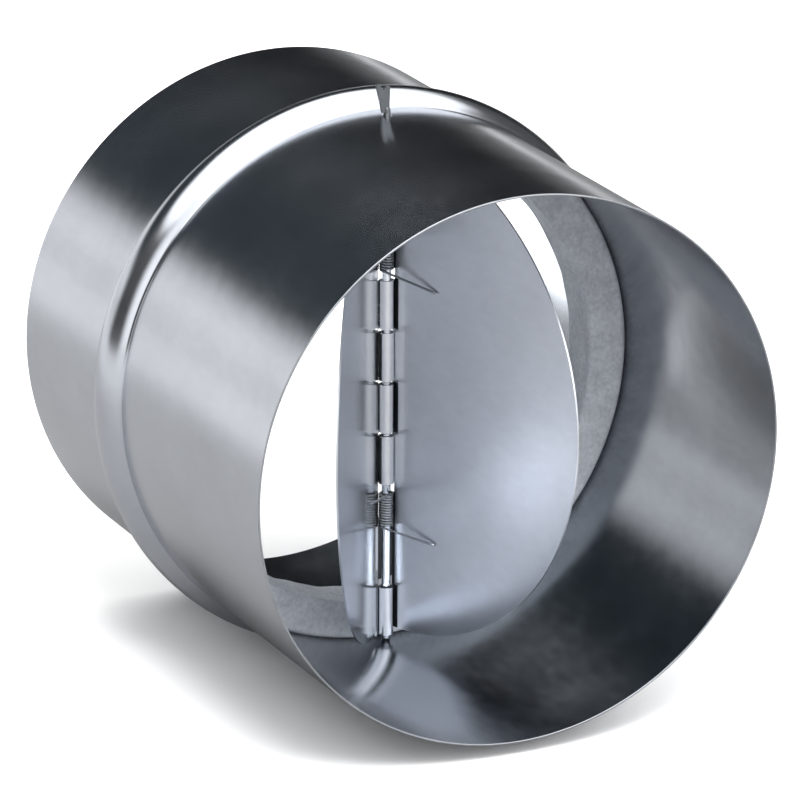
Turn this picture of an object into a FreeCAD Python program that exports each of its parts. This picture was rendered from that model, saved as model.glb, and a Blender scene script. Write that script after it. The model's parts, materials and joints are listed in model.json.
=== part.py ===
import FreeCAD, Part
import math
import os

from FreeCAD import Vector

# Butterfly backdraft damper for a round duct, in millimetres.
# The tube's axis is Y, the outlet end is at -Y and the hinge rod stands along Z.
# The origin is on the tube's axis, where the inlet spigot meets the foot of the bead.

# Tube: rolled galvanised sheet with one raised bead
duct_bore = 160.0
push_fit_play = 0.5
casing_sheet = 0.6
inlet_spigot_length = 54.8
outlet_spigot_length = 94.3
bead_width = 16.0
bead_height = 4.2
bead_foot_radius = 1.5

# Hinge rod: shouldered at both walls, headed below and crushed into a forked tail above
hinge_before_bead = 6.0
rod_radius = 1.3
rod_shoulder = 0.3
rod_end_play = 0.1
rod_shoulder_play = 0.6
rod_head_radius = 2.2
rod_head_height = 1.0
tail_neck = 1.2
tail_left_root = 1.7
tail_right_root = 0.6
tail_root_sheet = 1.4
tail_taper = 2.4
tail_sheet = 1.0
left_fork_height = 9.2
left_fork_reach = 3.5
right_fork_height = 8.4
right_fork_reach = 0.8
fork_width = 1.2
fork_depth = 1.0

# Flaps: half-round sheet blades with knuckles rolled round the rod
flap_sheet = 0.55
flap_tip_play = 1.2
flap_end_play = 3.9
knuckle_play = 0.08
knuckle_length = 14.4
knuckle_gap = 1.2
knuckle_end_play = 2.2
knuckle_wrap = 325.0
blade_set_back = 0.6
blade_ramp = 1.6
blade_edge = 1.3
lip_edge = 0.5
tab_length = 1.6
right_flap_opening = 73.5
left_flap_opening = 56.7

# Foam seal glued inside the tube and into the bead, behind the closed flaps
seal_width = 11.9
seal_depth = 15.0
seal_to_flap = 0.3
glue_line = 0.1
seal_outer_round = 2.0
seal_inner_round = 1.0

# Torsion springs: close-wound fine wire with a leg on each flap
wire_radius = 0.35
coil_play = 0.15
coil_gap = 0.1
coil_full_turns = 13
spring_leg_length = 19.0
spring_to_knuckle = 3.0
leg_to_flap = 0.15
inner_leg_bend = 5.0
leg_bend_radius = 12.0

# Sizes that follow
tube_radius = duct_bore / 2 - push_fit_play
tube_bore_radius = tube_radius - casing_sheet
bead_radius = (bead_width ** 2 / 4 + bead_height ** 2) / (2 * bead_height)
bead_centre_radius = tube_radius + bead_height - bead_radius
foot_rise = tube_radius + bead_foot_radius - bead_centre_radius
bead_foot = math.sqrt((bead_radius + bead_foot_radius) ** 2 - foot_rise ** 2)
bead_y = -bead_foot
inlet_end_y = inlet_spigot_length
outlet_end_y = -2 * bead_foot - outlet_spigot_length
hinge_y = -2 * bead_foot - hinge_before_bead
rod_end_radius = rod_radius - rod_shoulder
knuckle_bore_radius = rod_radius + knuckle_play
knuckle_radius = knuckle_bore_radius + flap_sheet
knuckle_pitch = knuckle_length + knuckle_gap
outer_knuckle_centre = tube_bore_radius - knuckle_end_play - knuckle_length / 2
own_knuckles = [outer_knuckle_centre, knuckle_pitch / 2, -1.5 * knuckle_pitch]
lip_width = 2 * knuckle_pitch - knuckle_length
blade_front = knuckle_bore_radius + blade_set_back
blade_back = blade_front + flap_sheet
flap_reach = tube_bore_radius - flap_tip_play
flap_half_height = tube_bore_radius - flap_end_play
seal_near_y = hinge_y + blade_back + seal_to_flap
seal_far_y = seal_near_y + seal_depth
seal_bore_radius = tube_bore_radius - seal_width
coil_radius = rod_radius + coil_play + wire_radius
coil_pitch = 2 * wire_radius + coil_gap
spring_inner_end = 1.5 * knuckle_pitch + knuckle_length / 2 + spring_to_knuckle

ORIGIN = Vector(0, 0, 0)
AXIS_X = Vector(1, 0, 0)
AXIS_Y = Vector(0, 1, 0)
AXIS_Z = Vector(0, 0, 1)
HINGE = Vector(0, hinge_y, 0)


def point(y, r):
    """A point of a section that is turned about the tube's axis."""
    return Vector(r, y, 0)


def on_circle(y, r, radius, degrees):
    """The point at an angle on a circle in the section, counted from the +Y side outwards."""
    a = math.radians(degrees)
    return point(y + radius * math.cos(a), r + radius * math.sin(a))


def bead_edges(offset):
    """The bead's line in the section, outlet side first, moved inwards by the offset."""
    crest = bead_radius - offset
    foot = bead_foot_radius + offset
    lean = math.degrees(math.atan2(foot_rise, bead_foot))
    foot_r = tube_radius + bead_foot_radius
    edges = []
    near_y = bead_y - bead_foot
    far_y = bead_y + bead_foot
    near_start = on_circle(near_y, foot_r, foot, 270)
    near_middle = on_circle(near_y, foot_r, foot, 270 + (90 + lean) / 2 - lean)
    near_end = on_circle(near_y, foot_r, foot, 360 - lean)
    edges.append(Part.Arc(near_start, near_middle, near_end).toShape())
    crest_end = on_circle(bead_y, bead_centre_radius, crest, lean)
    crest_top = on_circle(bead_y, bead_centre_radius, crest, 90)
    crest_start = on_circle(bead_y, bead_centre_radius, crest, 180 - lean)
    edges.append(Part.Arc(crest_start, crest_top, crest_end).toShape())
    far_start = on_circle(far_y, foot_r, foot, 180 + lean)
    far_middle = on_circle(far_y, foot_r, foot, 180 + (90 + lean) / 2)
    far_end = on_circle(far_y, foot_r, foot, 270)
    edges.append(Part.Arc(far_start, far_middle, far_end).toShape())
    return edges


def wall_wire(offset, closing):
    """A closed line: the wall's section moved inwards by the offset, then the closing points."""
    near = point(outlet_end_y, tube_radius - offset)
    near_foot = point(bead_y - bead_foot, tube_radius - offset)
    far_foot = point(bead_y + bead_foot, tube_radius - offset)
    far = point(inlet_end_y, tube_radius - offset)
    edges = [Part.makeLine(near, near_foot), Part.makeLine(far_foot, far)] + bead_edges(offset)
    return edges + Part.makePolygon([far] + closing + [near]).Edges


def turned(edges):
    """The solid that a closed section sweeps in one turn about the tube's axis."""
    face = Part.Face(Part.Wire(Part.__sortEdges__(edges)))
    return face.revolve(ORIGIN, AXIS_Y, 360)


def inside(offset):
    """All the space within the wall's section moved inwards by the offset."""
    return turned(wall_wire(offset, [point(inlet_end_y, 0), point(outlet_end_y, 0)]))


def make_casing():
    """The rolled tube with its bead, and a hole through each wall for the rod's ends."""
    drill_radius = rod_end_radius + rod_end_play
    drill = Part.makeCylinder(drill_radius, 2 * duct_bore, Vector(0, hinge_y, -duct_bore), AXIS_Z)
    return inside(0.0).cut(inside(casing_sheet)).cut(drill)


def circles(shape, y, radius):
    """The shape's round edges at a place along the tube's axis, or all of that radius."""
    found = []
    for edge in shape.Edges:
        if isinstance(edge.Curve, Part.Circle) and abs(edge.Curve.Radius - radius) < glue_line:
            if y is None or abs(edge.Curve.Center.y - y) < glue_line:
                found.append(edge)
    return found


def make_seal():
    """The foam ring: its outside follows the wall and fills the bead, and its edges are rounded."""
    start = Vector(0, seal_near_y, 0)
    outer = Part.makeCylinder(tube_radius + bead_height, seal_depth, start, AXIS_Y)
    bore = Part.makeCylinder(seal_bore_radius, seal_depth, start, AXIS_Y)
    ring = outer.cut(bore).common(inside(casing_sheet + glue_line))
    outer_edge = circles(ring, seal_near_y, tube_bore_radius - glue_line)
    ring = ring.makeFillet(seal_outer_round, outer_edge)
    return ring.makeFillet(seal_inner_round, circles(ring, None, seal_bore_radius))


def plate(points, way):
    """A plate between straight sides that is extruded along a direction."""
    return Part.Face(Part.makePolygon(points + points[:1])).extrude(way)


def make_tail():
    """The rod's top end: crushed flat just above the tube, spread sideways and notched at its top."""
    root = tube_radius + tail_neck / 2
    neck = tube_radius + tail_neck
    flat = neck + tail_taper
    left_top = tube_radius + left_fork_height
    right_top = tube_radius + right_fork_height
    outline = [
        (-tail_left_root, root),
        (-left_fork_reach, left_top - fork_width / 2),
        (-left_fork_reach + fork_width, left_top),
        ((right_fork_reach - left_fork_reach) / 2, right_top - fork_depth),
        (right_fork_reach - fork_width, right_top),
        (right_fork_reach, right_top - fork_width / 4),
        (tail_right_root, root),
    ]
    half_root = tail_root_sheet / 2
    half_sheet = tail_sheet / 2
    profile = [
        (-half_root, root),
        (-half_root, neck),
        (-half_sheet, flat),
        (-half_sheet, left_top),
        (half_sheet, left_top),
        (half_sheet, flat),
        (half_root, neck),
        (half_root, root),
    ]
    front = [Vector(x, hinge_y - half_root, z) for x, z in outline]
    side = [Vector(-left_fork_reach, hinge_y + y, z) for y, z in profile]
    broad = plate(front, AXIS_Y * tail_root_sheet)
    return broad.common(plate(side, AXIS_X * (left_fork_reach + right_fork_reach)))


def make_rod():
    """The rod with shouldered ends: a low domed head below, the forked tail above."""
    shoulder_z = math.sqrt(tube_bore_radius ** 2 - rod_radius ** 2) - rod_shoulder_play
    neck_top = tube_radius + tail_neck
    foot = Vector(0, hinge_y, -tube_radius)
    rod = Part.makeCylinder(rod_radius, 2 * shoulder_z, Vector(0, hinge_y, -shoulder_z), AXIS_Z)
    ends = Part.makeCylinder(rod_end_radius, neck_top + tube_radius, foot, AXIS_Z)
    dome_radius = (rod_head_radius ** 2 + rod_head_height ** 2) / (2 * rod_head_height)
    dome_centre = -tube_radius - rod_head_height + dome_radius
    dome = Part.makeSphere(dome_radius, Vector(0, hinge_y, dome_centre))
    head = dome.common(Part.makeCylinder(rod_head_radius, rod_head_height, foot, -AXIS_Z))
    return rod.fuse([ends, head, make_tail()]).removeSplitter()


def knuckle(z_low):
    """One rolled knuckle, and the ramp and tab that join it to the blade, in the closed position."""
    back = math.radians(-90)
    middle = back - math.radians(knuckle_wrap) / 2
    end = back - math.radians(knuckle_wrap)
    join = blade_ramp + tab_length

    def at(radius, angle):
        return Vector(radius * math.cos(angle), hinge_y - radius * math.sin(angle), z_low)

    def arc(radius):
        return Part.Arc(at(radius, back), at(radius, middle), at(radius, end)).toShape()

    tab = [
        at(knuckle_bore_radius, back),
        Vector(blade_ramp, hinge_y + blade_front, z_low),
        Vector(join, hinge_y + blade_front, z_low),
        Vector(join, hinge_y + blade_back, z_low),
        Vector(blade_ramp, hinge_y + blade_back, z_low),
        at(knuckle_radius, back),
    ]
    free_end = Part.makeLine(at(knuckle_radius, end), at(knuckle_bore_radius, end))
    edges = Part.makePolygon(tab).Edges + [arc(knuckle_radius), arc(knuckle_bore_radius), free_end]
    return Part.Face(Part.Wire(Part.__sortEdges__(edges))).extrude(AXIS_Z * knuckle_length)


def make_flap():
    """A closed flap that reaches along +X: the blade, its knuckles, and lips behind the other flap's."""
    ellipse = Part.Ellipse(ORIGIN, flap_reach, flap_half_height).toShape()
    disc = Part.Face(Part.Wire(ellipse)).extrude(AXIS_Z * flap_sheet)
    disc.rotate(ORIGIN, Vector(1, 0, 0), 90)
    disc.translate(Vector(0, hinge_y + blade_back, 0))
    depth = 2 * blade_back
    half_corner = Vector(blade_edge, hinge_y, -flap_reach)
    blade = disc.common(Part.makeBox(flap_reach, depth, 2 * flap_reach, half_corner))
    added = [knuckle(centre - knuckle_length / 2) for centre in own_knuckles]
    for centre in own_knuckles:
        low = Vector(lip_edge, hinge_y, -centre - lip_width / 2)
        added.append(disc.common(Part.makeBox(blade_edge, depth, lip_width, low)))
    return blade.fuse(added).removeSplitter()


def open_flap(flap, degrees):
    """Swing a flap towards the outlet by the opening angle."""
    flap.rotate(HINGE, AXIS_Z, degrees)
    return flap


def leg_slope():
    """The angle between a leg and the blade that leaves its tip just off the blade."""
    tip = -blade_front + wire_radius + leg_to_flap
    reach = math.hypot(coil_radius, spring_leg_length)
    return math.acos(tip / reach) - math.atan2(spring_leg_length, coil_radius)


def spring_leg(foot, z, sense, start_slope, end_slope):
    """A leg's edges, tip first. It leaves the coil along its tangent, then bends away from the turns."""
    start = Vector(coil_radius * math.cos(foot), hinge_y + coil_radius * math.sin(foot), z)
    out = Vector(-math.sin(foot), math.cos(foot), 0) * sense
    away = AXIS_Z * -sense

    def way(slope):
        return out * math.cos(slope) + away * math.sin(slope)

    if end_slope == start_slope:
        return [Part.makeLine(start + way(start_slope) * spring_leg_length, start)]
    bend = [start]
    for share in (0.5, 1.0):
        slope = start_slope + share * (end_slope - start_slope)
        run = leg_bend_radius * (math.sin(slope) - math.sin(start_slope))
        rise = leg_bend_radius * (math.cos(start_slope) - math.cos(slope))
        bend.append(start + out * run + away * rise)
    arc = Part.Arc(bend[2], bend[1], bend[0]).toShape()
    tip = bend[2] + way(end_slope) * (spring_leg_length - (bend[2] - start).Length)
    return [Part.makeLine(tip, bend[2]), arc]


def make_spring(top_is_inner):
    """A close-wound spring: top leg on the left flap, bottom leg on the right flap."""
    slope = leg_slope()
    right_foot = math.radians(-90 - right_flap_opening) + slope
    left_foot = math.radians(-90 + left_flap_opening) - slope
    turn = right_foot - left_foot + 2 * math.pi * coil_full_turns
    height = coil_pitch * turn / (2 * math.pi)
    top_z = -spring_inner_end if top_is_inner else spring_inner_end + height
    bottom_z = top_z - height
    coil = Part.makeHelix(coil_pitch, height, coil_radius, 0, True)
    coil.rotate(ORIGIN, AXIS_Z, math.degrees(right_foot))
    coil.translate(Vector(0, hinge_y, bottom_z))

    coil_slope = math.atan(coil_pitch / (2 * math.pi * coil_radius))
    inner_slope = coil_slope + math.radians(inner_leg_bend)
    top_slope = inner_slope if top_is_inner else coil_slope
    bottom_slope = coil_slope if top_is_inner else inner_slope
    left_leg = spring_leg(left_foot, top_z, -1, coil_slope, top_slope)
    right_leg = spring_leg(right_foot, bottom_z, 1, coil_slope, bottom_slope)
    path = Part.Wire(Part.__sortEdges__(right_leg + coil.Edges + left_leg))
    tip = right_leg[0].valueAt(right_leg[0].FirstParameter)
    way = right_leg[0].tangentAt(right_leg[0].FirstParameter)
    section = Part.Wire(Part.makeCircle(wire_radius, tip, way))
    return path.makePipeShell([section], True, True)


parts = {
    "casing_tube": make_casing(),
    "seal_ring": make_seal(),
    "hinge_rod": make_rod(),
    "right_flap": open_flap(make_flap(), -right_flap_opening),
    "upper_spring": make_spring(False),
    "lower_spring": make_spring(True),
}
left = make_flap()
left.rotate(ORIGIN, AXIS_Y, 180)
parts["left_flap"] = open_flap(left, left_flap_opening)

os.makedirs("parts", exist_ok=True)
for name, shape in parts.items():
    solid = shape.Solids[0] if len(shape.Solids) == 1 else shape
    print(name, solid.ShapeType, "valid", solid.isValid(), "volume", round(solid.Volume, 1))
    solid.exportStep("parts/" + name + ".step")
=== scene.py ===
import json
import math

import bmesh
import bpy
import numpy as np
from mathutils import Matrix, Vector


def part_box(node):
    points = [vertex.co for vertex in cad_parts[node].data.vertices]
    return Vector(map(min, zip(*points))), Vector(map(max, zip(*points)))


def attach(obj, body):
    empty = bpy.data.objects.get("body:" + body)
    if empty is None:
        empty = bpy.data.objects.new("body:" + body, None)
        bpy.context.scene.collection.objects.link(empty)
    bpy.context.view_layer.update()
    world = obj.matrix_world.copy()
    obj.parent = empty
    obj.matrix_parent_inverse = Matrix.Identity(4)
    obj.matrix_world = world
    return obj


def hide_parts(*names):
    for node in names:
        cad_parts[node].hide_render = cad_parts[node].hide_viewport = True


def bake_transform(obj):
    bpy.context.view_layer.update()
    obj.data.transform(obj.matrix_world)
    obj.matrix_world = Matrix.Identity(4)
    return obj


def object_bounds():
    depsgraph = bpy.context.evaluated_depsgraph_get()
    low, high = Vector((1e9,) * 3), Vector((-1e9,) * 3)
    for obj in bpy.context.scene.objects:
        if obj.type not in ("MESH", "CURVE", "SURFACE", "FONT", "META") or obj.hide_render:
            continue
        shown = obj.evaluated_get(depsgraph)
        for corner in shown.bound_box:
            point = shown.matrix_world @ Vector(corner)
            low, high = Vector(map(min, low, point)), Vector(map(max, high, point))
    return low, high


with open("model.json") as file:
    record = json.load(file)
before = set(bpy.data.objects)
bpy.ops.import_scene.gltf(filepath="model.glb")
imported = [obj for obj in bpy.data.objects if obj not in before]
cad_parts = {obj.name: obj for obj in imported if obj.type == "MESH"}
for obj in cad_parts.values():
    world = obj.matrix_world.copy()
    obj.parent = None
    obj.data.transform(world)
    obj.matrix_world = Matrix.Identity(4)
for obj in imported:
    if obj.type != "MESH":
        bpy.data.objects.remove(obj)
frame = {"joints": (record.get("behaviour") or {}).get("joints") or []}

cad_low, cad_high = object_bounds()

# Camera: a long lens from the left of the outlet and above it, as in the photograph.
# The view is nearly parallel, and its upright is the hinge rod.
# The origin is at the bead's foot on the inlet's side, and the hinge is 6 mm before the bead's other foot.
hinge_y = frame["joints"][0]["pos_m"][1]
hinge_before_bead = 0.006
bead_y = (hinge_y + hinge_before_bead) / 2
camera_azimuth = math.radians(-25.20)
camera_elevation = math.radians(18.366)
camera_roll = math.radians(0.18)
camera_distance = 1.8657
aim_right = 0.01017
aim_down = 0.00945

turn = Matrix.Rotation(camera_azimuth, 3, "Z")
turn = turn @ Matrix.Rotation(math.radians(90) - camera_elevation, 3, "X")
turn = turn @ Matrix.Rotation(camera_roll, 3, "Z")
camera_data = bpy.data.cameras.new("camera")
camera_data.sensor_width = 36.0
camera_data.lens = 291.2
camera_data.clip_end = 50.0
camera = bpy.data.objects.new("camera", camera_data)
bpy.context.scene.collection.objects.link(camera)
aim = Vector((0, bead_y, 0)) + turn @ Vector((aim_right, -aim_down, camera_distance))
camera.matrix_world = Matrix.Translation(aim) @ turn.to_4x4()
bpy.context.scene.camera = camera
bpy.context.scene.view_settings.view_transform = "Standard"

# Studio: a softbox overhead, a lit backdrop behind the object, a large soft light at the camera and a small
# lamp high in front. Between backdrop and softbox the room is dark, so the polished sheet shows white, black
# and grey stripes. In a list of bands a pair is a height, the Z of a direction, and the light from there.
overhead_light = 2.1
backdrop_light = 1.12
camera_side_light = 2.4
lamp_light = 27.0
lamp_place = (-0.156, -0.541, 0.829)
lamp_core = 0.08
lamp_rim = 0.26
dark_light = (0.036, 0.047, 0.055)
room_light = 0.10
below_light = 0.6
seen_light = 0.97
backdrop_tilt = 0.16
backdrop_bands = [
    (-1.0, below_light),
    (0.0, backdrop_light * 0.85),
    (0.07, backdrop_light),
    (0.13, backdrop_light * 0.9),
    (0.26, dark_light),
    (0.60, dark_light),
    (0.68, overhead_light),
]
room_bands = [(-1.0, below_light / 2), (0.0, room_light), (0.58, room_light), (0.68, overhead_light)]
camera_bands = [
    (-1.0, below_light),
    (0.05, camera_side_light),
    (0.88, camera_side_light),
    (0.96, overhead_light),
]

world = bpy.data.worlds.new("studio")
bpy.context.scene.world = world
world.use_nodes = True
room = world.node_tree
room.nodes.clear()
direction = room.nodes.new("ShaderNodeTexCoord")
heading = room.nodes.new("ShaderNodeSeparateXYZ")
room.links.new(direction.outputs["Generated"], heading.inputs[0])


def level_share(tree, source, low, high, low_share=0.0, high_share=1.0):
    """A share that changes smoothly while the source goes from low to high."""
    share = tree.nodes.new("ShaderNodeMapRange")
    share.interpolation_type = "SMOOTHSTEP"
    share.inputs["From Min"].default_value = low
    share.inputs["From Max"].default_value = high
    share.inputs["To Min"].default_value = low_share
    share.inputs["To Max"].default_value = high_share
    tree.links.new(source, share.inputs["Value"])
    return share.outputs[0]


def distance_to(tree, source, place):
    """The distance of a position or direction from a fixed place."""
    away = tree.nodes.new("ShaderNodeVectorMath")
    away.operation = "DISTANCE"
    away.inputs[1].default_value = place
    tree.links.new(source, away.inputs[0])
    return away.outputs["Value"]


def add_math(tree, operation, first, second):
    """A math node over two values, each a number or a socket."""
    node = tree.nodes.new("ShaderNodeMath")
    node.operation = operation
    for socket, value in zip(node.inputs, (first, second)):
        if isinstance(value, (int, float)):
            socket.default_value = value
        else:
            tree.links.new(value, socket)
    return node.outputs[0]


def band_light(bands, tilt=0.0):
    """The light from one side of the room, from a list of bands; a tilt lowers them to the right."""
    lean = room.nodes.new("ShaderNodeMath")
    lean.operation = "MULTIPLY_ADD"
    lean.inputs[1].default_value = tilt
    room.links.new(heading.outputs["X"], lean.inputs[0])
    room.links.new(heading.outputs["Z"], lean.inputs[2])
    rise = room.nodes.new("ShaderNodeMapRange")
    rise.inputs["From Min"].default_value = -1.0
    room.links.new(lean.outputs[0], rise.inputs["Value"])
    ramp = room.nodes.new("ShaderNodeValToRGB")
    ramp.color_ramp.interpolation = "EASE"
    while len(ramp.color_ramp.elements) < len(bands):
        ramp.color_ramp.elements.new(0.5)
    for element, (level, light) in zip(ramp.color_ramp.elements, bands):
        element.position = (level + 1) / 2
        element.color = (*np.broadcast_to(light, 3), 1)
    room.links.new(rise.outputs[0], ramp.inputs[0])
    return ramp.outputs[0]


def scale_light(light, share):
    """The light times a share."""
    scaled = room.nodes.new("ShaderNodeVectorMath")
    scaled.operation = "SCALE"
    room.links.new(light, scaled.inputs[0])
    room.links.new(share, scaled.inputs["Scale"])
    return scaled.outputs[0]


def mix_light(share, first, second):
    """The first light where the share is 0, the second where it is 1."""
    mix = room.nodes.new("ShaderNodeMix")
    mix.data_type = "RGBA"
    room.links.new(share, mix.inputs["Factor"])
    room.links.new(first, mix.inputs["A"])
    room.links.new(second, mix.inputs["B"])
    return mix.outputs["Result"]


# The backdrop fades to the right, but not high up. The camera's side is brighter to the right.
fade_right = level_share(room, heading.outputs["X"], -0.3, 0.42, 1.0, 0.13)
high_up = level_share(room, heading.outputs["Z"], 0.40, 0.60)
backdrop_share = add_math(room, "MAXIMUM", fade_right, high_up)
backdrop = scale_light(band_light(backdrop_bands, backdrop_tilt), backdrop_share)
behind = mix_light(level_share(room, heading.outputs["Y"], 0.75, 0.35), backdrop, band_light(room_bands))
brighter_right = level_share(room, heading.outputs["X"], -0.6, 0.5, 0.65, 1.35)
camera_side = scale_light(band_light(camera_bands), brighter_right)
around_room = mix_light(level_share(room, heading.outputs["Y"], -0.15, -0.55), behind, camera_side)
from_lamp = distance_to(room, direction.outputs["Generated"], lamp_place)
lamp = level_share(room, from_lamp, lamp_core, lamp_rim, lamp_light, 0.0)
with_lamp = room.nodes.new("ShaderNodeVectorMath")
with_lamp.operation = "ADD"
room.links.new(around_room, with_lamp.inputs[0])
room.links.new(lamp, with_lamp.inputs[1])
lit = room.nodes.new("ShaderNodeBackground")
room.links.new(with_lamp.outputs[0], lit.inputs["Color"])
plain = room.nodes.new("ShaderNodeBackground")
plain.inputs["Color"].default_value = (seen_light, seen_light, seen_light, 1)
path = room.nodes.new("ShaderNodeLightPath")
either = room.nodes.new("ShaderNodeMixShader")
room.links.new(path.outputs["Is Camera Ray"], either.inputs[0])
room.links.new(lit.outputs[0], either.inputs[1])
room.links.new(plain.outputs[0], either.inputs[2])
world_out = room.nodes.new("ShaderNodeOutputWorld")
room.links.new(either.outputs[0], world_out.inputs[0])

# Floor: a sheet of white paper that carries on past the view. The object mirrors a painted tone, dimmer than
# the camera sees it: painted shadow, dimmest near the object and far to the right, and a painted pool of
# light in front and one behind.
floor_z = cad_low.z
floor_reach = 12.0
floor_white = 0.95


def finish_mesh(name, vertices, faces, material):
    """Puts whole arrays into a new smooth mesh object with the material."""
    mesh = bpy.data.meshes.new(name)
    mesh.from_pydata(vertices.reshape(-1, 3).tolist(), [], faces.tolist())
    mesh.polygons.foreach_set("use_smooth", np.ones(len(mesh.polygons), bool))
    mesh.materials.append(material)
    mesh.update()
    piece = bpy.data.objects.new(name, mesh)
    bpy.context.scene.collection.objects.link(piece)
    return piece


def node_material(name, metallic):
    """A new material with its shader's metallic level set, its node tree and its shader."""
    material = bpy.data.materials.new(name)
    material.use_nodes = True
    shader = material.node_tree.nodes["Principled BSDF"]
    shader.inputs["Metallic"].default_value = metallic
    return material, material.node_tree, shader


floor_material, floor_tree, floor_shader = node_material("floor_paper", 0.0)
floor_place = floor_tree.nodes.new("ShaderNodeTexCoord")


def floor_spot(centre_x, centre_y, inner, outer, inside, outside):
    """A level that changes smoothly from the inner to the outer radius round a place on the floor."""
    away = distance_to(floor_tree, floor_place.outputs["Object"], (centre_x, centre_y, floor_z))
    return level_share(floor_tree, away, inner, outer, inside, outside)


# Painted shadow and painted pools of light on the floor, seen only in reflections.
painted_shadow_near_object = floor_spot(0.0, 0.16, 0.24, 0.75, 0.27, 0.45)
painted_shade_far_right = floor_spot(1.3, 0.9, 0.95, 1.20, 0.25, 1.0)
painted_light_in_front = floor_spot(0.11, -0.17, 0.02, 0.11, 0.3, 0.0)
painted_light_behind = floor_spot(0.09, 0.24, 0.08, 0.155, 2.4, 0.0)
painted_floor_light = add_math(floor_tree, "MULTIPLY", painted_shadow_near_object, painted_shade_far_right)
painted_floor_light = add_math(floor_tree, "ADD", painted_floor_light, painted_light_in_front)
painted_floor_light = add_math(floor_tree, "ADD", painted_floor_light, painted_light_behind)
floor_tone = floor_tree.nodes.new("ShaderNodeMix")
floor_tone.data_type = "RGBA"
floor_tree.links.new(painted_floor_light, floor_tone.inputs["A"])
floor_tone.inputs["B"].default_value = (floor_white, floor_white, floor_white, 1)
floor_seen = floor_tree.nodes.new("ShaderNodeLightPath")
floor_tree.links.new(floor_seen.outputs["Is Camera Ray"], floor_tone.inputs["Factor"])
floor_tree.links.new(floor_tone.outputs["Result"], floor_shader.inputs["Base Color"])
floor_shader.inputs["Roughness"].default_value = 0.9
floor_shader.inputs["Specular IOR Level"].default_value = 0.0
floor_corner = np.array([[-1, -1], [1, -1], [1, 1], [-1, 1]]) * floor_reach
floor_points = np.column_stack([floor_corner, np.full(4, floor_z)])
floor = finish_mesh("floor", floor_points, np.array([[0, 1, 2, 3]]), floor_material)

# Casing tube: galvanised sheet rolled to a 159 mm pipe, with one bead rolled outwards as a stop for the duct.
# The sheet is 0.6 mm thick, and its cut edges are left raw. The rod's two holes are drilled beside the bead.
tube_radius = 0.0795
casing_sheet = 0.0006
inlet_end = cad_high.y
outlet_end = cad_low.y
bead_width = 0.016
bead_height = 0.0042
bead_foot_radius = 0.0015
rod_hole_radius = 0.0011
drill_reach = 0.003
edge_round = 0.00012
edge_support = 0.0003
dent = 0.00005
near_rings = 25
foot_rings = 9
crest_rings = 29
far_rings = 15
tube_spokes = 512


def grid_faces(rows, columns, wrap_rows=False, wrap_columns=False):
    """The quads of a grid of vertices counted row by row, closed on itself where asked."""
    i = np.arange(rows if wrap_rows else rows - 1)[:, None]
    j = np.arange(columns if wrap_columns else columns - 1)[None, :]
    down, right = (i + 1) % rows, (j + 1) % columns
    corners = [i * columns + j, i * columns + right, down * columns + right, down * columns + j]
    return np.stack([c + 0 * (i + j) for c in corners], -1).reshape(-1, 4)


def sheet_line(offset):
    """Points (y, r) of the sheet's outside moved in by the offset: a straight, three arcs, a straight."""
    crest = (bead_width ** 2 / 4 + bead_height ** 2) / (2 * bead_height)
    centre = tube_radius + bead_height - crest
    rise = tube_radius + bead_foot_radius - centre
    foot = math.sqrt((crest + bead_foot_radius) ** 2 - rise ** 2)
    lean = math.atan2(rise, foot)
    swing = np.linspace(-math.pi / 2, -lean, foot_rings)
    near = [
        bead_y - foot + (bead_foot_radius + offset) * np.cos(swing),
        tube_radius + bead_foot_radius + (bead_foot_radius + offset) * np.sin(swing),
    ]
    arch = np.linspace(math.pi - lean, lean, crest_rings)[1:-1]
    top = [bead_y + (crest - offset) * np.cos(arch), centre + (crest - offset) * np.sin(arch)]
    far = [2 * bead_y - near[0][::-1], near[1][::-1]]
    flat_near = np.append(outlet_end, np.linspace(outlet_end + edge_support, bead_y - foot, near_rings)[:-1])
    flat_far = np.append(np.linspace(bead_y + foot, inlet_end - edge_support, far_rings)[1:], inlet_end)
    flat_r = tube_radius - offset
    y = np.concatenate([flat_near, near[0], top[0], far[0], flat_far])
    r = np.concatenate([np.full(near_rings, flat_r), near[1], top[1], far[1], np.full(far_rings, flat_r)])
    return y, r


def soft_waves(a, b, seed, count, slowest, fastest):
    """A smooth random height: the sum of sine waves over two coordinates, each with a random heading, pace
    and phase, divided by the square root of their number."""
    draw = np.random.default_rng(seed)
    heading = draw.uniform(0, 2 * math.pi, count)
    pace = draw.uniform(slowest, fastest, count)
    phase = draw.uniform(0, 2 * math.pi, count)
    total = np.zeros(np.broadcast(a, b).shape)
    for h, p, f in zip(heading, pace, phase):
        total += np.sin(p * (a * math.cos(h) + b * math.sin(h)) + f)
    return total / math.sqrt(count)


# The section runs along the outside and back along the inside, with a small chamfer at each cut corner.
outside_y, outside_r = sheet_line(0.0)
inside_y, inside_r = sheet_line(casing_sheet)
profile_y = np.concatenate([outside_y, inside_y[::-1]])
profile_r = np.concatenate([outside_r, inside_r[::-1]])
ends = np.array([0, len(outside_y) - 1, len(outside_y), len(profile_y) - 1])
profile_y[ends] -= np.sign(profile_y[ends] - bead_y) * edge_round
split = len(outside_y)
low_r = tube_radius - casing_sheet + edge_round
high_r = tube_radius - edge_round
profile_y = np.concatenate([[outlet_end] * 2, profile_y[:split], [inlet_end] * 2, profile_y[split:]])
profile_r = np.concatenate([[low_r, high_r], profile_r[:split], [high_r, low_r], profile_r[split:]])

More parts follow.
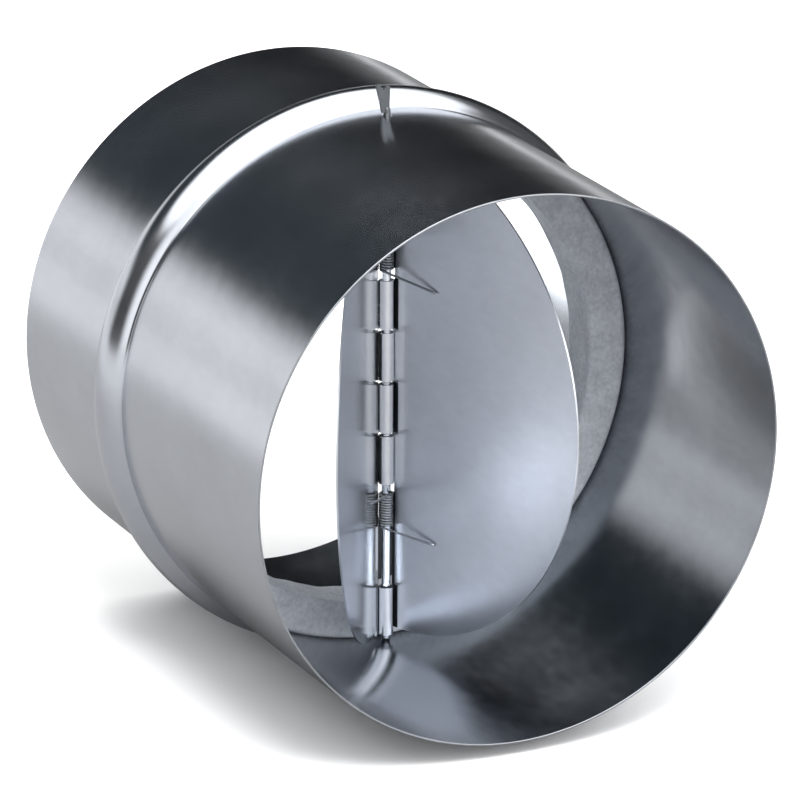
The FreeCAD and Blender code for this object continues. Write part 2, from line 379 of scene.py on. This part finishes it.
angle = np.linspace(0, 2 * math.pi, tube_spokes, endpoint=False)[:, None]
wobble = dent * soft_waves(
    np.cos(angle) * tube_radius + 0 * profile_y, profile_y + np.sin(angle) * tube_radius,
    seed=4, count=14, slowest=25, fastest=80,
)
wobble -= wobble.max()
radius = profile_r[None, :] + wobble
tube_points = np.stack([radius * np.cos(angle), profile_y + 0 * angle, radius * np.sin(angle)], -1)
tube_faces = grid_faces(tube_spokes, len(profile_y), True, True)


def make_group(name, inputs, outputs):
    """An empty node group with named inputs and outputs."""
    group = bpy.data.node_groups.new(name, "ShaderNodeTree")
    for label, kind, value in inputs:
        socket = group.interface.new_socket(label, in_out="INPUT", socket_type=kind)
        socket.default_value = value
    for label, kind in outputs:
        group.interface.new_socket(label, in_out="OUTPUT", socket_type=kind)
    return group, group.nodes.new("NodeGroupInput"), group.nodes.new("NodeGroupOutput")


def add_noise(tree, scale, detail, stretch=(1, 1, 1)):
    """A noise in object coordinates, squeezed by a stretch along each axis."""
    where = tree.nodes.new("ShaderNodeTexCoord")
    place = tree.nodes.new("ShaderNodeMapping")
    place.inputs["Scale"].default_value = stretch
    noise = tree.nodes.new("ShaderNodeTexNoise")
    noise.inputs["Scale"].default_value = scale
    noise.inputs["Detail"].default_value = detail
    tree.links.new(where.outputs["Object"], place.inputs[0])
    tree.links.new(place.outputs[0], noise.inputs["Vector"])
    return noise.outputs[0]


# Zinc finish: clouds, a fine grain and faint crystals that change its tint and gloss, and soft dents.
zinc, zinc_in, zinc_out = make_group(
    "zinc_finish",
    [
        ("Tint", "NodeSocketColor", (0.40, 0.42, 0.45, 1)),
        ("Cloud", "NodeSocketFloat", 0.10),
        ("Gloss", "NodeSocketFloat", 0.20),
        ("Dents", "NodeSocketFloat", 0.10),
    ],
    [("Color", "NodeSocketColor"), ("Roughness", "NodeSocketFloat"), ("Normal", "NodeSocketVector")],
)
cloud = add_noise(zinc, 45.0, 4.0)
grain = add_noise(zinc, 420.0, 3.0, (1, 0.35, 1))
waves = add_noise(zinc, 70.0, 1.5)
spangle = zinc.nodes.new("ShaderNodeTexVoronoi")
spangle.inputs["Scale"].default_value = 260.0
spangle_where = zinc.nodes.new("ShaderNodeTexCoord")
zinc.links.new(spangle_where.outputs["Object"], spangle.inputs["Vector"])
spangle_grey = zinc.nodes.new("ShaderNodeRGBToBW")
zinc.links.new(spangle.outputs["Color"], spangle_grey.inputs[0])
blotch = add_math(zinc, "SUBTRACT", cloud, 0.5)
fleck = add_math(zinc, "MULTIPLY", add_math(zinc, "SUBTRACT", grain, 0.5), 0.5)
crystal = add_math(zinc, "MULTIPLY", add_math(zinc, "SUBTRACT", spangle_grey.outputs[0], 0.5), 0.05)
texture = add_math(zinc, "ADD", add_math(zinc, "ADD", blotch, fleck), crystal)
shade = add_math(zinc, "MULTIPLY", texture, zinc_in.outputs["Cloud"])
bright = zinc.nodes.new("ShaderNodeHueSaturation")
zinc.links.new(zinc_in.outputs["Tint"], bright.inputs["Color"])
zinc.links.new(add_math(zinc, "ADD", add_math(zinc, "MULTIPLY", shade, 2.0), 1.0), bright.inputs["Value"])
zinc.links.new(bright.outputs[0], zinc_out.inputs["Color"])
rough = add_math(zinc, "ADD", zinc_in.outputs["Gloss"], add_math(zinc, "MULTIPLY", shade, 0.6))
zinc.links.new(rough, zinc_out.inputs["Roughness"])
dents = zinc.nodes.new("ShaderNodeBump")
dents.inputs["Distance"].default_value = 0.0006
zinc.links.new(zinc_in.outputs["Dents"], dents.inputs["Strength"])
zinc.links.new(add_math(zinc, "ADD", waves, add_math(zinc, "MULTIPLY", grain, 0.03)), dents.inputs["Height"])
zinc.links.new(dents.outputs[0], zinc_out.inputs["Normal"])


def zinc_material(name, tint, cloud_level, gloss, dent_level):
    """Metal with the zinc finish and its own tint, cloudiness, gloss and dents."""
    material, tree, shader = node_material(name, 1.0)
    finish = tree.nodes.new("ShaderNodeGroup")
    finish.node_tree = zinc
    finish.inputs["Tint"].default_value = (*tint, 1)
    finish.inputs["Cloud"].default_value = cloud_level
    finish.inputs["Gloss"].default_value = gloss
    finish.inputs["Dents"].default_value = dent_level
    tree.links.new(finish.outputs["Color"], shader.inputs["Base Color"])
    tree.links.new(finish.outputs["Roughness"], shader.inputs["Roughness"])
    tree.links.new(finish.outputs["Normal"], shader.inputs["Normal"])
    return material


# The inside takes a darker copy of the same zinc: painted shade for the dimmer light inside the tube.
tube_zinc = zinc_material("galvanised_tube", (0.55, 0.575, 0.62), 0.10, 0.17, 0.10)
inside_zinc_painted_darker = zinc_material("galvanised_inside_painted_shade", (0.30, 0.32, 0.352), 0.18, 0.18, 0.12)
edge_zinc = zinc_material("cut_edge", (0.27, 0.28, 0.30), 0.30, 0.48, 0.20)
tube = finish_mesh("tube_sheet", tube_points, tube_faces, tube_zinc)
tube.data.materials.append(inside_zinc_painted_darker)
tube.data.materials.append(edge_zinc)
column = np.tile(np.arange(len(profile_y)), tube_spokes)
outside_last = 2 + len(outside_y)
finish = np.where(column < outside_last - 1, 0, np.where(column < outside_last + 2, 2, 1))
finish[(column < 2) | (column > len(profile_y) - 2)] = 2
tube.data.polygons.foreach_set("material_index", finish.astype(np.int32))


def drill(piece, radius, x, y, low, high, sides=24):
    """Cuts an upright round hole through the piece and keeps the result as its mesh."""
    spokes = np.linspace(0, 2 * math.pi, sides, endpoint=False)
    ring = np.column_stack([x + radius * np.cos(spokes), y + radius * np.sin(spokes)])
    points = np.concatenate([np.column_stack([ring, np.full(sides, z)]) for z in (low, high)])
    mesh = bpy.data.meshes.new("drill")
    caps = [list(range(sides - 1, -1, -1)), list(range(sides, 2 * sides))]
    mesh.from_pydata(points.tolist(), [], grid_faces(2, sides, False, True).tolist() + caps)
    bit = bpy.data.objects.new("drill", mesh)
    bpy.context.scene.collection.objects.link(bit)
    cut = piece.modifiers.new("hole", "BOOLEAN")
    cut.operation = "DIFFERENCE"
    cut.solver = "EXACT"
    cut.object = bit
    bpy.context.view_layer.update()
    whole = piece.evaluated_get(bpy.context.evaluated_depsgraph_get())
    drilled = bpy.data.meshes.new_from_object(whole)
    piece.modifiers.clear()
    piece.data = drilled
    bpy.data.objects.remove(bit)


for wall_z in (tube_radius, -tube_radius):
    drill(tube, rod_hole_radius, 0.0, hinge_y, wall_z - drill_reach, wall_z + drill_reach)
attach(tube, "casing")
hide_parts("casing_tube")

# Foam ring: a strip of grey open-cell foam bent round the inside of the tube and glued there.
# It was cut by hand, so its edges wander a little. The flaps close on its near face.
foam_low, foam_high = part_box("seal_ring")
foam_bore = 0.067
foam_outer = tube_radius - casing_sheet - 0.0001
foam_near = foam_low.y
foam_far = foam_high.y
near_round = 0.0020
bore_round = 0.0012
bore_wander = 0.00022
face_wander = 0.00012
face_limit = 0.0001
face_set_back = 0.00012
foam_spokes = 720

corner = np.linspace(0, math.pi / 2, 7)
down = np.linspace(foam_outer - near_round, foam_bore + bore_round, 12)[1:-1]
along = np.linspace(foam_near + bore_round, foam_far - bore_round, 16)[1:-1]
up = np.linspace(foam_bore + bore_round, foam_outer - bore_round, 12)[1:-1]
foam_y = np.concatenate([
    foam_near + near_round * (1 - np.cos(math.pi / 2 - corner)),
    np.full_like(down, foam_near),
    foam_near + bore_round * (1 - np.cos(corner)),
    along,
    foam_far - bore_round * (1 - np.sin(corner)),
    np.full_like(up, foam_far),
    [foam_far],
])
foam_r = np.concatenate([
    foam_outer - near_round * (1 - np.sin(math.pi / 2 - corner)),
    down,
    foam_bore + bore_round * (1 - np.sin(corner)),
    np.full_like(along, foam_bore),
    foam_bore + bore_round * (1 - np.cos(corner)),
    up,
    [foam_outer],
])
foam_angle = np.linspace(0, 2 * math.pi, foam_spokes, endpoint=False)[:, None]
foam_along = foam_angle * foam_bore
inward = (foam_outer - foam_r) / (foam_outer - foam_bore)
wander = soft_waves(foam_along, foam_y + foam_r, seed=7, count=24, slowest=150, fastest=900)
sag = soft_waves(foam_along, foam_y - foam_r, seed=8, count=16, slowest=60, fastest=700)
foam_radius = foam_r + bore_wander * wander * inward
face_shift = np.clip(face_wander * sag * inward, -face_limit, face_limit)
foam_points = np.stack([
    foam_radius * np.cos(foam_angle),
    foam_y + face_set_back + face_shift,
    foam_radius * np.sin(foam_angle),
], -1)

foam_material, foam_tree, foam_shader = node_material("seal_foam", 0.0)
foam_shader.inputs["Roughness"].default_value = 0.95
foam_shader.inputs["Specular IOR Level"].default_value = 0.25
pores = add_math(foam_tree, "MULTIPLY", add_noise(foam_tree, 900.0, 3.0), 0.55)
patches = add_math(foam_tree, "MULTIPLY", add_noise(foam_tree, 160.0, 3.0), 0.45)
foam_mix = add_math(foam_tree, "ADD", pores, patches)
speckle = foam_tree.nodes.new("ShaderNodeValToRGB")
speckle.color_ramp.elements[0].position = 0.30
speckle.color_ramp.elements[0].color = (0.50, 0.525, 0.57, 1)
speckle.color_ramp.elements[1].position = 0.72
speckle.color_ramp.elements[1].color = (0.80, 0.83, 0.88, 1)
foam_tree.links.new(foam_mix, speckle.inputs[0])
foam_tree.links.new(speckle.outputs[0], foam_shader.inputs["Base Color"])
foam_bump = foam_tree.nodes.new("ShaderNodeBump")
foam_bump.inputs["Distance"].default_value = 0.0006
foam_bump.inputs["Strength"].default_value = 0.8
foam_tree.links.new(foam_mix, foam_bump.inputs["Height"])
foam_tree.links.new(foam_bump.outputs[0], foam_shader.inputs["Normal"])
foam_faces = grid_faces(foam_spokes, len(foam_y), True, False)
foam = finish_mesh("foam_ring", foam_points, foam_faces, foam_material)
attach(foam, "casing")
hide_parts("seal_ring")

# Flaps: two equal stampings of 0.55 mm sheet, the left one turned over, with three knuckles rolled on each.
# Each blade is set back behind its knuckles, and a lip of it reaches in behind the other flap's knuckles.
# A line across the sheet holds pairs (u, n): u runs out from the hinge's axis, and n to the front.
flap_sheet = 0.00055
rod_radius = 0.0013
knuckle_radius = 0.00218
blade_front = 0.0022
knuckle_length = 0.0144
knuckle_gap = 0.0012
knuckle_pitch = knuckle_length + knuckle_gap
knuckle_wrap = math.radians(325)
knuckle_points = 40
outer_knuckle = 0.0695
own_knuckles = [outer_knuckle, knuckle_pitch / 2, -1.5 * knuckle_pitch]
flap_reach = 0.0777
flap_half_height = 0.075
blade_edge = 0.0010
lip_edge = -0.0003
rod_edge = 0.00004
ramp_start = 0.0005
lip_height = knuckle_length - 0.0004
# The painted shade on the lips and beside the rod: how far out it reaches and how high it runs.
shade_end = 0.0013
painted_shade_reach = 0.0026
painted_shade_height = knuckle_length + 0.0008
window_low = 0.0306
window_high = 0.0338
bare_end = 0.0623
blade_ramp = 0.0016
curl_radius = knuckle_radius - flap_sheet / 2
blade_back = blade_front + flap_sheet / 2
tab_end = 0.0032
blade_rows = 121
blade_columns = 60
broken_edge = 0.00009
same_height = 1e-9
right_opening = math.radians(73.5)
left_opening = math.radians(56.7)

curl_turn = np.linspace(math.radians(-90) - knuckle_wrap, math.radians(-90), knuckle_points)
knuckle_line = np.concatenate([
    np.column_stack([curl_radius * np.cos(curl_turn), curl_radius * np.sin(curl_turn)]),
    [[ramp_start, -curl_radius], [blade_ramp, -blade_back], [tab_end, -blade_back]],
])
lip_line, rod_line, edge_line = (
    np.array([[u, -blade_back] for u in (edge, shade_end, painted_shade_reach, tab_end)])
    for edge in (lip_edge, rod_edge, blade_edge)
)


def zone_line(z):
    """The sheet's line at a height: a rolled knuckle, a lip behind the other flap's knuckle, the edge in the
    window between knuckle and spring, or the edge behind the bare rod."""
    if any(abs(z - centre) < knuckle_length / 2 for centre in own_knuckles):
        return knuckle_line
    if any(abs(z + centre) < lip_height / 2 for centre in own_knuckles):
        return lip_line
    return edge_line if window_low < abs(z) < window_high else rod_line


def flap_sheet_mesh():
    """The closed flap's middle surface: strips along the hinge, each a line carried along Z, and the blade,
    whose rows run from the strips out to a half ellipse. Columns are along the sheet, heights are rows."""
    tip = flap_half_height * math.sqrt(1 - (tab_end / flap_reach) ** 2)
    limits = [tip, -tip, -window_high, window_high, -bare_end, bare_end]
    for centre in own_knuckles:
        limits += [centre - knuckle_length / 2, centre + knuckle_length / 2]
        limits += [-centre - painted_shade_height / 2, -centre + painted_shade_height / 2]
        limits += [-centre - lip_height / 2, -centre + lip_height / 2]
    limits = np.unique(np.round([z for z in limits if -tip - same_height <= z], 9))
    sweep = math.asin(tip / flap_half_height)
    rows = np.concatenate([limits, flap_half_height * np.sin(np.linspace(-sweep, sweep, blade_rows))])
    rows = np.unique(np.round(rows, 9))
    vertices, faces, count = [], [], 0
    for low, high in zip(limits[:-1], limits[1:]):
        line = zone_line((low + high) / 2)
        if low >= tip - same_height and line is not knuckle_line:
            continue
        z = rows[(rows >= low - same_height) & (rows <= high + same_height)]
        patch = np.zeros((len(z), len(line), 3))
        patch[..., :2] = line
        patch[..., 2] = z[:, None]
        vertices.append(patch.reshape(-1, 3))
        faces.append(grid_faces(len(z), len(line)) + count)
        count += patch.shape[0] * patch.shape[1]
    z = rows[np.abs(rows) <= tip + same_height]
    reach = flap_reach * np.sqrt(np.clip(1 - (z / flap_half_height) ** 2, 0, 1))
    reach[[0, -1]] = tab_end
    share = np.linspace(0, 1, blade_columns)[None, :]
    blade = np.zeros((len(z), blade_columns, 3))
    blade[..., 0] = tab_end + (reach[:, None] - tab_end) * share
    blade[..., 1] = -blade_back
    blade[..., 2] = z[:, None]
    vertices.append(blade.reshape(-1, 3))
    faces.append(grid_faces(len(z), blade_columns) + count)
    return np.concatenate(vertices), np.concatenate(faces)


def clean_mesh(piece, merge=0.0, thinnest=0.0, end_sides=0):
    """Merges doubled points, drops faces below the thinnest, closes open ends of up to so many sides and
    turns all faces outwards."""
    work = bmesh.new()
    work.from_mesh(piece.data)
    if merge:
        bmesh.ops.remove_doubles(work, verts=work.verts, dist=merge)
    if thinnest:
        bmesh.ops.dissolve_degenerate(work, edges=work.edges, dist=thinnest)
    if end_sides:
        bmesh.ops.holes_fill(work, edges=[e for e in work.edges if e.is_boundary], sides=end_sides)
    bmesh.ops.recalc_face_normals(work, faces=work.faces)
    work.to_mesh(piece.data)
    work.free()


def sheet_piece(name, vertices, faces, thickness, bevel, body, material, second=None, in_second=None):
    """A folded sheet from its middle surface: doubled points merged, then given thickness and broken edges.
    Faces that the mask picks take the second material."""
    piece = finish_mesh(name, vertices, faces, material)
    if second:
        piece.data.materials.append(second)
        piece.data.polygons.foreach_set("material_index", in_second.astype(np.int32))
    clean_mesh(piece, merge=1e-6, thinnest=1e-7)
    thick = piece.modifiers.new("sheet", "SOLIDIFY")
    thick.thickness = thickness
    thick.offset = 0.0
    thick.use_even_offset = True
    broken = piece.modifiers.new("edge", "BEVEL")
    broken.width = bevel
    broken.segments = 2
    broken.limit_method = "ANGLE"
    broken.angle_limit = math.radians(40)
    broken.harden_normals = True
    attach(piece, body)
    return piece


flap_vertices, flap_faces = flap_sheet_mesh()

# The blades' finish is smoother where it is seen at a low angle, as rolled sheet is.
flap_zinc = zinc_material("flap_sheet", (0.68, 0.70, 0.74), 0.12, 0.30, 0.06)
flap_tree = flap_zinc.node_tree
flap_shader = flap_tree.nodes["Principled BSDF"]
flap_view = flap_tree.nodes.new("ShaderNodeLayerWeight")
flap_gloss = flap_tree.nodes.new("ShaderNodeMapRange")
flap_gloss.inputs["From Min"].default_value = 0.60
flap_gloss.inputs["From Max"].default_value = 0.86
flap_gloss.inputs["To Min"].default_value = 1.0
flap_gloss.inputs["To Max"].default_value = 0.45
flap_tree.links.new(flap_view.outputs["Facing"], flap_gloss.inputs["Value"])
flap_rough = flap_shader.inputs["Roughness"].links[0].from_socket
flap_rough = add_math(flap_tree, "MULTIPLY", flap_rough, flap_gloss.outputs[0])
flap_tree.links.new(flap_rough, flap_shader.inputs["Roughness"])
# Painted shade: a near-black copy of the zinc that stands in for the shade in the crevices behind the other
# flap's knuckles and beside the bare rod.
painted_crevice_shade = zinc_material("painted_shade_behind_knuckles", (0.045, 0.050, 0.056), 0.3, 0.45, 0.1)


def place_flap(side, opening):
    """The flap's points in place: the left one turned over first, then u and n turned by the opening."""
    u, n, z = flap_vertices.T
    x, y = side * u, -n
    swing = -side * opening
    return np.column_stack([
        x * math.cos(swing) - y * math.sin(swing),
        hinge_y + x * math.sin(swing) + y * math.cos(swing),
        side * z,
    ])


flap_middle = flap_vertices[flap_faces].mean(1)
face_u = flap_middle[:, 0]
face_z = flap_middle[:, 2]
# Faces that take the painted shade: the lips behind the other flap's knuckles, and the sheet beside the bare
# rod.
opposite = np.array([np.abs(face_z + centre) < painted_shade_height / 2 for centre in own_knuckles]).any(0)
beside_rod = (np.abs(face_z) > window_high) & (np.abs(face_z) < bare_end)
in_painted_crevice_shade = (opposite & (face_u < painted_shade_reach)) | (beside_rod & (face_u < shade_end))
for flap_name, side, opening in (("right_flap", 1, right_opening), ("left_flap", -1, left_opening)):
    flap = sheet_piece(flap_name + "_sheet", place_flap(side, opening), flap_faces, flap_sheet, broken_edge,
                       flap_name, flap_zinc, painted_crevice_shade, in_painted_crevice_shade)
    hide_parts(flap_name)

# Hinge rod: a 2.6 mm drawn steel rod, shouldered where it passes through the tube's walls.
# Its foot is a low domed head, and its top is crushed flat, spread and forked to keep it from dropping out.
rod_end_radius = 0.0010
shoulder_play = 0.0006
shoulder_z = math.sqrt((tube_radius - casing_sheet) ** 2 - rod_radius ** 2) - shoulder_play
neck_foot = tube_radius + 0.0012
neck_top = neck_foot + 0.0012
neck_radius = 0.0006
head_radius = 0.0022
head_height = 0.0010
rod_chamfer = 0.00015
rod_spokes = 32
tail_thickness = 0.0010
tail_edge = 0.00018
tail_columns = 5

dome_radius = (head_radius ** 2 + head_height ** 2) / (2 * head_height)
dome_swing = np.linspace(0, math.asin(head_radius / dome_radius), 12)
rod_r = np.concatenate([
    dome_radius * np.sin(dome_swing),
    [rod_end_radius, rod_end_radius, rod_radius - rod_chamfer, rod_radius],
    [rod_radius, rod_radius - rod_chamfer, rod_end_radius, rod_end_radius, neck_radius, 0.0],
])
dome_z = -tube_radius - head_height + dome_radius * (1 - np.cos(dome_swing))
rod_z = np.concatenate([
    dome_z,
    [-tube_radius, -shoulder_z, -shoulder_z, -shoulder_z + rod_chamfer],
    [shoulder_z - rod_chamfer, shoulder_z, shoulder_z, neck_foot, neck_top, neck_top],
])
spoke = np.linspace(0, 2 * math.pi, rod_spokes, endpoint=False)[:, None]
rod_points = np.stack([rod_r * np.cos(spoke), hinge_y + rod_r * np.sin(spoke), rod_z + 0 * spoke], -1)
rod_steel = zinc_material("rod_steel", (0.50, 0.52, 0.55), 0.15, 0.24, 0.03)
rod = finish_mesh("rod", rod_points, grid_faces(rod_spokes, len(rod_r), True, False), rod_steel)

# The tail is one crushed sheet. Each row gives a height above the tube, then the places of the left side,
# the left fork's inner side, the right fork's inner side and the right side. The forks meet below the notch.
# The right fork ends two rows below the left one.
tail_rows = np.array([
    [0.65, -1.70, -0.55, -0.55, 0.60],
    [2.2, -2.06, -0.74, -0.74, 0.64],
    [4.0, -2.46, -0.95, -0.95, 0.68],
    [5.8, -2.87, -1.16, -1.16, 0.73],
    [7.35, -3.22, -1.35, -1.35, 0.77],
    [7.85, -3.33, -1.70, -0.87, 0.78],
    [8.15, -3.40, -1.90, -0.60, 0.76],
    [8.35, -3.44, -2.00, -0.40, 0.55],
    [8.8, -3.46, -2.15, 0.0, 0.0],
    [9.15, -3.00, -2.30, 0.0, 0.0],
]) * 0.001
across_share = np.linspace(0, 1, tail_columns)
tail_vertices, tail_faces, tail_count = [], [], 0
for low_side, high_side, rows in ((1, 2, tail_rows), (3, 4, tail_rows[:-2])):
    span = rows[:, high_side] - rows[:, low_side]
    x = rows[:, low_side, None] + span[:, None] * across_share
    z = tube_radius + rows[:, :1] + 0 * x
    tail_vertices.append(np.stack([x, hinge_y + 0 * x, z], -1).reshape(-1, 3))
    tail_faces.append(grid_faces(len(rows), tail_columns) + tail_count)
    tail_count += x.size
# Painted shade: the crushed tail and the rod's ends outside the tube take a near-black steel, much darker
# than the rod, which stands in for their shade and dulls their highlights.
rod_ends_painted_dark = zinc_material("rod_end_painted_shade", (0.085, 0.09, 0.095), 0.6, 0.46, 0.3)
sheet_piece("rod_tail", np.concatenate(tail_vertices), np.concatenate(tail_faces), tail_thickness, tail_edge,
            "casing", rod_ends_painted_dark)
clean_mesh(rod, merge=1e-7)
# The rod's head and neck outside the tube take the same painted shade.
rod.data.materials.append(rod_ends_painted_dark)
for face in rod.data.polygons:
    face.material_index = int(abs(face.center.z) > tube_radius - casing_sheet)
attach(rod, "casing")
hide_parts("hinge_rod")

# Springs: two close-wound torsion springs of 0.7 mm wire on the bare rod, with one leg on each flap.
# Each is made in two halves that meet at the middle turn.
wire_radius = 0.00035
wire_play = 0.00015
wire_sides = 12
coil_gap = 0.0001
coil_radius = rod_radius + wire_play + wire_radius
coil_pitch = 2 * wire_radius + coil_gap
coil_full_turns = 13
half_coil_points = 320
leg_length = 0.019
leg_points = 12
leg_bend_points = 7
spring_end_gap = 0.003
spring_inner_end = 1.5 * knuckle_pitch + knuckle_length / 2 + spring_end_gap
leg_bend_radius = 0.012
inner_leg_bend = math.radians(5)
leg_tip = -blade_front + wire_radius + wire_play
leg_slope = math.acos(leg_tip / math.hypot(coil_radius, leg_length)) - math.atan2(leg_length, coil_radius)
right_foot = math.radians(-90) - right_opening + leg_slope
left_foot = math.radians(-90) + left_opening - leg_slope
coil_turn = right_foot - left_foot + 2 * math.pi * coil_full_turns
coil_height = coil_pitch * coil_turn / (2 * math.pi)
coil_slope = math.atan(coil_pitch / (2 * math.pi * coil_radius))

spring_steel = zinc_material("spring_wire", (0.20, 0.21, 0.225), 0.1, 0.30, 0.02)


def half_spring(top_is_inner, upper):
    """Points along the wire of half a spring: a straight leg, a bend at the coil's inner end only, and a
    helix to the middle of the coil, down from the upper leg or up from the lower one."""
    top_z = -spring_inner_end if top_is_inner else spring_inner_end + coil_height
    bottom_z = top_z - coil_height
    middle_z = (top_z + bottom_z) / 2
    inner = upper == top_is_inner
    foot = left_foot if upper else right_foot
    end_z = top_z if upper else bottom_z
    sense = -1 if upper else 1
    start = np.array([coil_radius * math.cos(foot), hinge_y + coil_radius * math.sin(foot), end_z])
    out = np.array([-math.sin(foot), math.cos(foot), 0]) * sense
    away = np.array([0, 0, -sense])
    end_slope = coil_slope + (inner_leg_bend if inner else 0)
    slope = np.linspace(coil_slope, end_slope, leg_bend_points)[1:, None]
    bend = start + out * leg_bend_radius * (np.sin(slope) - math.sin(coil_slope))
    bend = bend + away * leg_bend_radius * (math.cos(coil_slope) - np.cos(slope))
    if not inner:
        bend = start[None, :]
    run = leg_length - np.linalg.norm(bend[-1] - start)
    tip = bend[-1] + (out * math.cos(end_slope) + away * math.sin(end_slope)) * run
    straight = tip + (bend[-1] - tip) * np.linspace(0, 1, leg_points)[:, None]
    share = np.linspace(0, 0.5, half_coil_points)[1:, None]
    swing = foot - sense * share * coil_turn
    helix = np.column_stack([
        coil_radius * np.cos(swing),
        hinge_y + coil_radius * np.sin(swing),
        end_z + sense * share * coil_height,
    ])
    line = [straight[:-1], bend[::-1]]
    if inner:
        line.append(start[None, :])
    return np.concatenate(line + [helix]), middle_z, end_z


def wire_points(line, radius, sides):
    """A round section carried along the line: each ring stands square to it, with one side turned to the
    Z axis."""
    along = np.gradient(line, axis=0)
    along /= np.linalg.norm(along, axis=1)[:, None]
    across = np.cross(along, [0, 0, 1])
    across /= np.linalg.norm(across, axis=1)[:, None]
    above = np.cross(across, along)
    swing = np.linspace(0, 2 * math.pi, sides, endpoint=False)[None, :, None]
    ring = across[:, None, :] * np.cos(swing) + above[:, None, :] * np.sin(swing)
    return line[:, None, :] + radius * ring


for spring_node, top_is_inner in (("upper_spring", False), ("lower_spring", True)):
    for half_name, upper, flap_body in (("left", True, "left_flap"), ("right", False, "right_flap")):
        line, middle_z, end_z = half_spring(top_is_inner, upper)
        rings = wire_points(line, wire_radius, wire_sides)
        wire_faces = grid_faces(len(line), wire_sides, False, True)
        spring = finish_mesh(spring_node + "_" + half_name + "_half", rings, wire_faces, spring_steel)
        clean_mesh(spring, end_sides=wire_sides)
        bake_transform(spring)
        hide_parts(spring_node)
